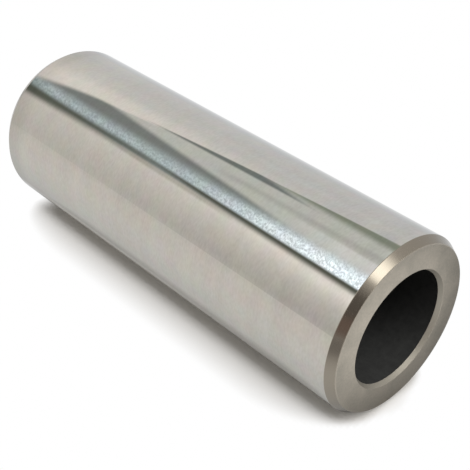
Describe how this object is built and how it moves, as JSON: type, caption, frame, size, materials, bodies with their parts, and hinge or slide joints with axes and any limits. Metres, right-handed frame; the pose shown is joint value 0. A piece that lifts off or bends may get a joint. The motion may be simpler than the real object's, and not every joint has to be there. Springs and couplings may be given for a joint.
{
  "type": "gudgeon pin",
  "caption": "Hollow steel gudgeon pin with a ground outside, chamfered ends and a plain through bore.",
  "frame": {"origin": "centre of the end face that the pin stands on", "axes": "+Z along the pin's axis, from the end it stands on to the other end; the pin is round and both ends are alike, so +X and +Y are any two directions square to that axis"},
  "size_m": [0.021, 0.021, 0.058],
  "materials": {
    "ground_steel": "case-hardened steel, finely ground and polished round the outside, turned on the chamfers and end faces, with black heat-treatment scale left in the bore"
  },
  "bodies": {
    "root": {"gudgeon_pin": "ground_steel"}
  },
  "joints": []
}
